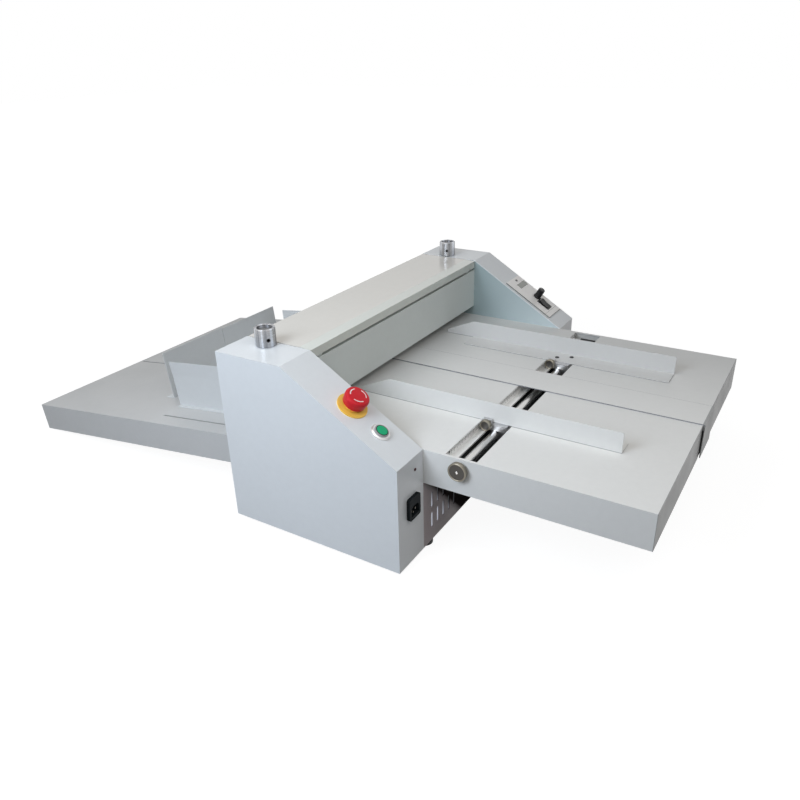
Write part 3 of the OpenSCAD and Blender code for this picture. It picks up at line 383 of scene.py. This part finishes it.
# the tray's paint is darker than the tables' as painted shade
wear("delivery_tray", paint("paint_tray", (0.58, 0.585, 0.585)).done())
wear("left_end_stop right_end_stop left_tray_guide right_tray_guide",
     paint("paint_tray_guides", (0.67, 0.69, 0.70), rough=(0.38, 0.48)).done())
wear("top_cover", cover_mat())
wear("front_guard rear_guard base_plate rear_panel", paint("paint_beam", GREY_PAINT).done())
wear("left_side_frame right_side_frame", side_frame_mat())
wear("vent_panel", vent_mat())


def shaft_rings_mat(name, height):
    """Turned steel round one of the two roller shafts."""
    return lathe_metal(name, (0.5, 0.51, 0.52), (0, SHAFT_Y, height), X).done()


def pressure_knob_mat(name, x):
    """Turned aluminium with painted reflections, lighter and darker bands round it, and a dark recess."""
    m = lathe_metal(name, (0.40, 0.405, 0.42), (x, SHAFT_Y, KNOB_Z), Z, rough=(0.24, 0.34), depth=0.10)
    around = m.new("ShaderNodeCombineXYZ")
    m.put(around.inputs[0], m.math("ARCTAN2", m.along(Y, (0, SHAFT_Y, 0)), m.along(X, (x, 0, 0))))
    bands = m.noise(1.35, detail=2.0, vector=around.outputs[0])
    # painted reflections: dark and bluish-white bands by the angle round the knob
    m.tint(m.ramp(bands, 0.65, 0.0, 0.42, 0.51, smooth=True), (0.15, 0.155, 0.17))
    m.tint(m.ramp(bands, 0.0, 0.65, 0.52, 0.62, smooth=True), (0.72, 0.76, 0.83))
    recess = m.axis_distance((x, SHAFT_Y, 0), Z)
    m.tint(m.ramp(recess, 0.85, 0.0, 0.0126, 0.0134), (0.10, 0.10, 0.10))
    return m.done()


def wheel_mat(name, y, z, outer_r):
    """Dark blued face with a brassy rim."""
    m = lathe_metal(name, (0.085, 0.08, 0.075), (0, y, z), X, rough=(0.3, 0.42), depth=0.12)
    radius = m.axis_distance((0, y, z), X)
    m.tint(m.ramp(radius, 0.0, 0.9, outer_r - 0.0030, outer_r - 0.0022), (0.27, 0.25, 0.205))
    return m.done()


wear("guide_bar lower_shaft upper_shaft cover_hinge_pins",
     brushed("steel_bar", (0.62, 0.62, 0.61), (0.02, 1, 1), rough=(0.16, 0.3)).done())
# painted shade: the trough under the guide bar is near black, for the shade under the tables
wear("bar_brackets", paint("paint_trough", (0.035, 0.035, 0.037), rough=(0.5, 0.6)).done())
wear("left_pressure_screw right_pressure_screw",
     brushed("steel_pressure_screws", (0.5, 0.5, 0.5), (1, 1, 0.04)).done())
wear("anvil_rings lower_gear shaft_pulley lower_bearings", shaft_rings_mat("steel_rings", LOWER_SHAFT_Z))
wear("creasing_rings upper_gear", shaft_rings_mat("steel_rings_up", UPPER_SHAFT_Z))
wear("motor_pulley", lathe_metal("steel_pulley", (0.55, 0.55, 0.56), MOTOR_SHAFT, X).done())
wear("feed_rings", plastic("rubber_rings", (0.03, 0.03, 0.032), rough=(0.55, 0.75), grain=0.3).done())
wear("upper_bearing_blocks",
     plastic("cast_blocks", (0.1, 0.105, 0.11), rough=(0.45, 0.6), grain=0.35, scale=700).done())
wear("left_carriage right_carriage",
     brushed("milled_carriage", (0.58, 0.58, 0.59), (0.05, 1, 1), rough=(0.3, 0.45)).done())
wear("left_pressure_knob", pressure_knob_mat("aluminium_knob_left", -KNOB_X))
wear("right_pressure_knob", pressure_knob_mat("aluminium_knob_right", KNOB_X))
wear("lateral_knob", wheel_mat("knob_lateral", BAR_Y, BAR_Z, 0.016))
wear("left_clamp_wheel right_clamp_wheel", wheel_mat("wheel_clamp", *CLAMP_AXIS, 0.010))


def ruler_mat():
    """Satin aluminium rail; its upright scale has millimetre, five and ten millimetre ticks."""
    m = Mat("ruler", (0.80, 0.80, 0.79), metal=0.5, rough=0.3)
    m.vary(30.0, 0.04)
    pos = m.along(X)
    depth = m.along(-Z, (0, 0, TABLE_Z - 0.001))
    upright = m.math("GREATER_THAN", m.along(Z), 0.1985)
    total = 0.0
    ticks = ((0.001, 0.0025, 0.00016), (0.005, 0.0048, 0.0005), (0.010, 0.0065, 0.0006))
    for step, length, width in ticks:
        cell = m.math("PINGPONG", pos, step / 2)
        line = m.math("LESS_THAN", cell, width)
        short = m.math("LESS_THAN", depth, length)
        total = m.math("MAXIMUM", total, m.math("MULTIPLY", line, short))
    m.tint(m.math("MULTIPLY", total, upright), (0.02, 0.02, 0.02))
    m.set("Roughness", m.ramp(m.noise(700, (0.03, 1, 1)), 0.26, 0.4))
    return m.done()


wear("ruler_rail", ruler_mat())


def dull(m, level):
    """Finishes a material that mirrors less than a usual one."""
    m.set("Specular IOR Level", level)
    return m.done()


wear("rubber_feet", plastic("rubber_feet_black", (0.02, 0.02, 0.02), rough=(0.6, 0.8), grain=0.4).done())
wear("mains_inlet", dull(plastic("inlet_black", (0.010, 0.013, 0.015), rough=(0.6, 0.7)), 0.08))
wear("drive_belt", plastic("belt_rubber", (0.02, 0.02, 0.02), rough=(0.6, 0.8), grain=0.5).done())
wear("drive_motor", paint("motor_paint", (0.07, 0.075, 0.08), rough=(0.35, 0.5), grain=0.1).done())


def board_mat():
    """Green solder mask with paler tracks and darker parts."""
    m = Mat("board", (0.02, 0.16, 0.07), rough=0.35)
    lines = m.math("LESS_THAN", m.math("PINGPONG", m.along(Y), 0.003), 0.0006)
    m.tint(m.math("MULTIPLY", lines, m.ramp(m.noise(60.0), 0.0, 0.6, 0.45, 0.55)), (0.05, 0.28, 0.13))
    m.tint(m.ramp(m.along(X), 0.0, 1.0, 0.3305, 0.331), (0.03, 0.03, 0.035))
    m.vary(80.0, 0.08)
    m.bump(m.noise(500.0), 0.2, 0.0003)
    return m.done()


wear("control_board", board_mat())
wear("power_lamp", plastic("lamp_red", (0.09, 0.008, 0.006), rough=(0.12, 0.2), grain=0.02).done())

START = on_slope(-349, 64.8)
SPEED = on_slope(360, 92)

wear("estop_ring", plastic("yellow_ring", (0.86, 0.56, 0.09), rough=(0.42, 0.55), grain=0.05).done())
wear("estop_stem", plastic("stop_stem_black", (0.02, 0.02, 0.02)).done())
wear("estop_head", dull(plastic("red_head", (0.58, 0.006, 0.016), rough=(0.34, 0.44), grain=0.04), 0.3))
bezel = lathe_metal("bezel_satin", (0.60, 0.60, 0.605), START, SLOPE_N, rough=(0.40, 0.48), depth=0.04)
wear("start_bezel", bezel.done())


def start_mat():
    """A green lens inside a black collar."""
    m = Mat("start_green", (0.004, 0.005, 0.005), rough=0.36, spec=0.3)
    radius = m.axis_distance(START, SLOPE_N)
    m.tint(m.ramp(radius, 1.0, 0.0, 0.0090, 0.0094), (0.0, 0.40, 0.17))
    m.tint(m.math("GREATER_THAN", radius, 0.0106), (0.30, 0.30, 0.31))
    spot = m.noise(240.0, detail=1.0)
    m.vary(200.0, 0.08)
    m.bump(m.math("MULTIPLY", spot, m.ramp(radius, 1.0, 0.0, 0.0086, 0.0092)), 0.25, 0.0006)
    return m.done()


wear("start_button", start_mat())


def film_mat():
    """Pale printed film: a fine border line, scale marks round the speed knob, no words."""
    m = Mat("panel_film", (0.93, 0.915, 0.90), rough=0.35)
    m.vary(40.0, 0.012)
    up = m.along(SLOPE_UP, on_slope(0, 0))
    across = m.along(X)

    # painted shade along the lower and inner edge, and a fine line across
    low = m.math("LESS_THAN", up, 0.0356)
    inner = m.math("LESS_THAN", across, 0.3206)
    m.tint(m.math("MAXIMUM", low, inner), (0.10, 0.10, 0.10))
    line = m.math("LESS_THAN", m.math("ABSOLUTE", m.math("SUBTRACT", up, 0.0475)), 0.00035)
    m.tint(m.math("MULTIPLY", line, 0.75), (0.2, 0.2, 0.2))

    # ticks round the speed knob, except at its lower end
    radius = m.axis_distance(SPEED, SLOPE_N)
    turn = m.math("ARCTAN2", m.along(X, SPEED), m.along(SLOPE_UP, SPEED))
    ticks = m.math("LESS_THAN", m.math("PINGPONG", turn, math.radians(13.5)), 0.05)
    ring = m.math("MULTIPLY", m.math("GREATER_THAN", radius, 0.0102),
                  m.math("LESS_THAN", radius, 0.0122))
    arc = m.math("LESS_THAN", m.math("ABSOLUTE", turn), math.radians(137))
    m.tint(m.math("MULTIPLY", m.math("MULTIPLY", ticks, ring), arc), (0.05, 0.05, 0.05))

    m.bump(m.noise(1200.0), 0.05, 0.0002)
    m.rough(0.3, 0.42, 50.0)
    return m.done()


wear("control_panel", film_mat())


def window_mat():
    """Plain grey display glass."""
    m = Mat("display", (0.20, 0.21, 0.18), rough=0.12, coat=0.6)
    m.vary(100.0, 0.06)
    return m.done()


wear("display_window", window_mat())


def pointer_mat():
    """Black knob with a white pointer line across its top."""
    m = plastic("speed_black", (0.008, 0.008, 0.009), rough=(0.34, 0.46))
    line = m.math("LESS_THAN", m.math("ABSOLUTE", m.along(X, SPEED)), 0.0005)
    half = m.math("GREATER_THAN", m.along(SLOPE_UP, SPEED), 0.0018)
    top = m.math("GREATER_THAN", m.along(SLOPE_N, SPEED), 0.0245)
    m.tint(m.math("MULTIPLY", m.math("MULTIPLY", line, half), top), (0.8, 0.8, 0.8))
    return dull(m, 0.3)


wear("speed_knob", pointer_mat())
wear("rocker_switch",
     dull(plastic("rocker_black", (0.006, 0.006, 0.007), rough=(0.40, 0.5), grain=0.05), 0.25))
wear("reset_button", plastic("reset_grey", (0.1, 0.1, 0.1)).done())

# every CAD node wears a node material
for obj in NODES.values():
    assert obj.data.materials and obj.data.materials[0].use_nodes


# ---------- soft edges on the sheet metal ----------
def soften(names, width, segments=2):
    """Rounds the sharp edges of some CAD nodes."""
    for name in names.split():
        mod = NODES[name].modifiers.new("edge", "BEVEL")
        mod.width = width
        mod.segments = segments
        mod.limit_method = "ANGLE"
        mod.angle_limit = math.radians(35)
        mod.harden_normals = False
        mod.use_clamp_overlap = True


soften("left_housing right_housing", 0.0011, 3)
soften("left_feed_table right_feed_table centre_strip delivery_tray", 0.0006)
soften("top_cover front_guard rear_guard", 0.0006)
soften("left_side_guide right_side_guide left_end_stop right_end_stop", 0.0003)
soften("left_tray_guide right_tray_guide", 0.0003)
soften("mains_inlet rocker_switch control_panel", 0.0004)


# ---------- small pieces ----------
def piece(name, bm, mat, body, smooth=False):
    """Makes an object of a bmesh, gives it a material and ties it to a body."""
    mesh = bpy.data.meshes.new(name)
    bm.normal_update()
    bm.to_mesh(mesh)
    bm.free()
    obj = bpy.data.objects.new(name, mesh)
    bpy.context.scene.collection.objects.link(obj)
    if smooth:
        for poly in mesh.polygons:
            poly.use_smooth = True
        mod = obj.modifiers.new("normals", "EDGE_SPLIT")
        mod.split_angle = math.radians(35)
    dress(obj, mat)
    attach(obj, body)


def block(bm, lo, hi, matrix=None, bevel=0.0):
    """Adds a box from lo to hi, with rounded edges if bevel isn't 0."""
    geom = bmesh.ops.create_cube(bm, size=1.0)
    verts = geom["verts"]
    lo, hi = Vector(lo), Vector(hi)
    for v in verts:
        v.co = Vector(((v.co.x + 0.5) * (hi.x - lo.x) + lo.x, (v.co.y + 0.5) * (hi.y - lo.y) + lo.y,
                       (v.co.z + 0.5) * (hi.z - lo.z) + lo.z))
    if bevel:
        edges = list({e for v in verts for e in v.link_edges})
        made = bmesh.ops.bevel(bm, geom=edges, offset=bevel, segments=2, affect="EDGES", profile=0.5)
        verts = list({v for f in made["faces"] for v in f.verts} | {v for v in verts if v.is_valid})
    if matrix is not None:
        bmesh.ops.transform(bm, matrix=matrix, verts=verts)


def ring_part(bm, outline, a0, a1, steps, matrix):
    """Sweeps a closed outline of (radius, height) from angle a0 to a1; a full turn is closed."""
    full = abs(a1 - a0) >= 2 * math.pi - 1e-6
    count = steps if full else steps + 1
    loops = []
    for i in range(count):
        a = a0 + (a1 - a0) * i / steps
        turn = matrix @ Matrix.Rotation(a, 4, "Z")
        loops.append([bm.verts.new(turn @ Vector((r, 0, h))) for r, h in outline])
    for i in range(steps):
        here, there = loops[i], loops[(i + 1) % count]
        for j in range(len(outline)):
            k = (j + 1) % len(outline)
            bm.faces.new((here[j], there[j], there[k], here[k]))
    if not full:
        bm.faces.new(loops[0])
        bm.faces.new(list(reversed(loops[-1])))


def slope_matrix(x, up, out):
    """Puts what is drawn flat onto the sloping face, at a place in millimetres."""
    return Matrix.Translation(on_slope(x, up, out)) @ SLOPE_FRAME


def inlet_pins():
    """Three contact pins inside the mains inlet."""
    bm = bmesh.new()
    for dx, dz in ((-0.0065, 0.0), (0.0065, 0.0), (0.0, -0.0045)):
        cx, cz = INLET_X + dx, INLET_Z + dz
        block(bm, (cx - 0.001, FRONT_Y - 0.0025, cz - 0.002), (cx + 0.001, FRONT_Y + 0.0125, cz + 0.002),
              bevel=0.0004)
    mat = brushed("pins", (0.22, 0.21, 0.19), (1, 0.1, 1)).done()
    piece("inlet_pins", bm, mat, "machine_frame")


def rocker_frame():
    """A flat frame of four bars round the rocker switch."""
    outer_x, outer_y, rim, height = 0.0115, 0.0158, 0.0014, 0.0012
    inner_x, inner_y = outer_x - rim, outer_y - rim
    bm = bmesh.new()
    place = slope_matrix(356, 67.5, 1.5)
    for x0, y0, x1, y1 in ((-outer_x, -outer_y, -inner_x, outer_y), (inner_x, -outer_y, outer_x, outer_y),
                           (-inner_x, -outer_y, inner_x, -inner_y), (-inner_x, inner_y, inner_x, outer_y)):
        block(bm, (x0, y0, 0), (x1, y1, height), place)
    piece("rocker_frame", bm, NODES["rocker_switch"].data.materials[0], "machine_frame")


def stop_arrows():
    """Three pale turning arrows on the red head."""
    first, length = -0.95, 1.25
    outline = [(0.0128, 0.00002), (0.0144, -0.0001), (0.0144, 0.00034), (0.0128, 0.00044)]
    bm = bmesh.new()
    place = slope_matrix(-347, 128.6, 26.0)
    for i in range(3):
        start = first + i * 2 * math.pi / 3
        ring_part(bm, outline, start, start + length, 14, place)
    bmesh.ops.recalc_face_normals(bm, faces=bm.faces)
    mat = plastic("arrow_white", (0.82, 0.80, 0.80), rough=(0.3, 0.4), grain=0.03).done()
    piece("stop_arrows", bm, mat, "stop_head")


def vent_fleece():
    """Pale fleece behind the slots that glows a little as painted light; painted shade makes it dark deep
    under the tables.
    """
    bm = bmesh.new()
    for x0, x1 in ((-0.300, -0.185), (0.185, 0.300)):
        block(bm, (x0, FRONT_Y + 0.0019, 0.034), (x1, FRONT_Y + 0.0039, 0.116))
    m = plastic("fleece", (0.84, 0.86, 0.90), rough=(0.7, 0.9), grain=0.5, scale=900.0)
    # painted light: a faint bluish glow, which fades deep under the tables
    m.set("Emission Color", (0.80, 0.88, 1.0, 1.0))
    m.set("Emission Strength", m.ramp(under_table(m), 0.40, 0.02, -0.20, -0.165))
    m.tint(m.ramp(under_table(m), 0.0, 0.9, -0.20, -0.165), (0.05, 0.04, 0.04))
    piece("vent_fleece", bm, m.done(), "machine_frame")


def strip_gap_shade():
    """A dark sheet in the gap behind the centre strip's end, standing in for the shade there."""
    bm = bmesh.new()
    half = STRIP_HALF - 0.0005
    block(bm, (STRIP_MID - half, END_Y, 0.1480), (STRIP_MID + half, END_Y + 0.0012, TABLE_Z - 0.002))
    # painted shade: a near-black sheet where only shade falls
    mat = plastic("gap_shade_black", (0.02, 0.02, 0.02), rough=(0.7, 0.9), grain=0.6, scale=900.0).done()
    piece("strip_gap_shade", bm, mat, "machine_frame")


def guide_screws():
    """Dark screw heads on the flange of the right side guide."""
    outline = [(0.0012, 0.0), (0.0042, 0.0), (0.0042, 0.0008), (0.0036, 0.0013), (0.0015, 0.0013),
               (0.0012, 0.0004)]
    bm = bmesh.new()
    for dx, dy in GUIDE_SCREWS:
        place = Matrix.Translation((RIGHT_GUIDE_X + dx, FRONT_Y + dy, GUIDE_TOP_Z))
        ring_part(bm, outline, 0, 2 * math.pi, 28, place)
    bmesh.ops.recalc_face_normals(bm, faces=bm.faces)
    mat = plastic("screw_black", (0.02, 0.02, 0.021), rough=(0.4, 0.55)).done()
    piece("guide_screws", bm, mat, "right_guide", smooth=True)


def lateral_knob_screw():
    """Bright screw in the middle of the lateral knob."""
    outline = [(0.0, 0.0001), (0.0024, 0.0001), (0.0024, 0.0008), (0.0020, 0.0011), (0.0, 0.0012)]
    bm = bmesh.new()
    place = Matrix.Translation(LATERAL_SCREW) @ Matrix.Rotation(-math.pi / 2, 4, "Y")
    ring_part(bm, outline, 0, 2 * math.pi, 32, place)
    bmesh.ops.remove_doubles(bm, verts=bm.verts, dist=1e-6)
    bmesh.ops.recalc_face_normals(bm, faces=bm.faces)
    mat = lathe_metal("screw_bright", (0.72, 0.71, 0.69), LATERAL_SCREW, X, rough=(0.1, 0.2)).done()
    piece("lateral_knob_screw", bm, mat, "lateral_dial", smooth=True)


inlet_pins()
rocker_frame()
stop_arrows()
vent_fleece()
strip_gap_shade()
guide_screws()
lateral_knob_screw()


# ---------- floor, light and background ----------
def floor():
    """A pale floor that keeps the shadow; it glows only where it is seen, and not under the tray."""
    bm = bmesh.new()
    bmesh.ops.create_grid(bm, x_segments=1, y_segments=1, size=12)
    mesh = bpy.data.meshes.new("floor")
    bm.to_mesh(mesh)
    bm.free()
    obj = bpy.data.objects.new("floor", mesh)
    bpy.context.scene.collection.objects.link(obj)
    mat = bpy.data.materials.new("floor_white")
    n = Tree(mat)
    place = n.new("ShaderNodeTexCoord").outputs["Object"]
    whiter = n.ramp(n.vmath("LENGTH", place, out=1), 0.93, 1.0, 0.8, 2.0)

    # how far a point lies inside the tray's shade: from its right, near, far and slanting left sides
    split = n.new("ShaderNodeSeparateXYZ", Vector=place)
    x, y = split.outputs[0], split.outputs[1]
    right = n.math("SUBTRACT", 0.26, x)
    near = n.math("SUBTRACT", y, 0.06)
    far = n.math("SUBTRACT", 0.68, y)
    left = n.math("ADD", n.math("ADD", x, 0.163), n.math("MULTIPLY", y, 0.215))
    inside = n.math("MINIMUM", n.math("MINIMUM", right, left), n.math("MINIMUM", near, far))
    shade = n.ramp(inside, 1.0, 0.08, 0.0, 0.06)

    strength = n.math("MULTIPLY", n.seen(), n.math("MULTIPLY", whiter, shade))
    glow = n.new("ShaderNodeEmission", Strength=strength)
    lit = n.new("ShaderNodeBsdfDiffuse", Color=(0.2, 0.2, 0.2, 1))
    both = n.new("ShaderNodeAddShader")
    n.put(both.inputs[0], lit.outputs[0])
    n.put(both.inputs[1], glow.outputs[0])
    n.new("ShaderNodeOutputMaterial", Surface=both.outputs[0])
    mesh.materials.append(mat)


def world():
    """Soft light all round, seen as plain white."""
    w = bpy.data.worlds.new("studio")
    bpy.context.scene.world = w
    n = Tree(w)
    soft = n.new("ShaderNodeBackground", Color=(0.97, 0.98, 1.0, 1), Strength=0.17)
    plain = n.new("ShaderNodeBackground", Color=(1, 1, 1, 1), Strength=1.0)
    mix = n.new("ShaderNodeMixShader")
    for socket, value in zip(mix.inputs, (n.seen(), soft.outputs[0], plain.outputs[0])):
        n.put(socket, value)
    n.new("ShaderNodeOutputWorld", Surface=mix.outputs[0])


def lamp(name, place, target, size, watts, color):
    """A rectangular area light at place that shines at target."""
    data = bpy.data.lights.new(name, "AREA")
    data.shape = "RECTANGLE"
    data.size, data.size_y = size
    data.energy = watts
    data.color = color
    obj = bpy.data.objects.new(name, data)
    bpy.context.scene.collection.objects.link(obj)
    obj.location = place
    obj.rotation_euler = (Vector(target) - Vector(place)).to_track_quat("-Z", "Y").to_euler()


floor()
world()
lamp("window", place=(-1.3, 0.05, 0.98), target=(-0.35, -0.1, 0.15), size=(0.7, 0.7),
     watts=12.5, color=(0.82, 0.90, 1.0))
lamp("top", place=(-0.6, 0.8, 2.1), target=(-0.1, -0.1, 0.2), size=(1.2, 1.2),
     watts=8.5, color=(1.0, 0.97, 0.90))
lamp("front", place=(-0.5, -0.9, 1.15), target=(0.0, -0.25, 0.2), size=(0.9, 0.6),
     watts=4.2, color=(1.0, 0.97, 0.93))

bpy.context.scene.view_settings.view_transform = "Standard"
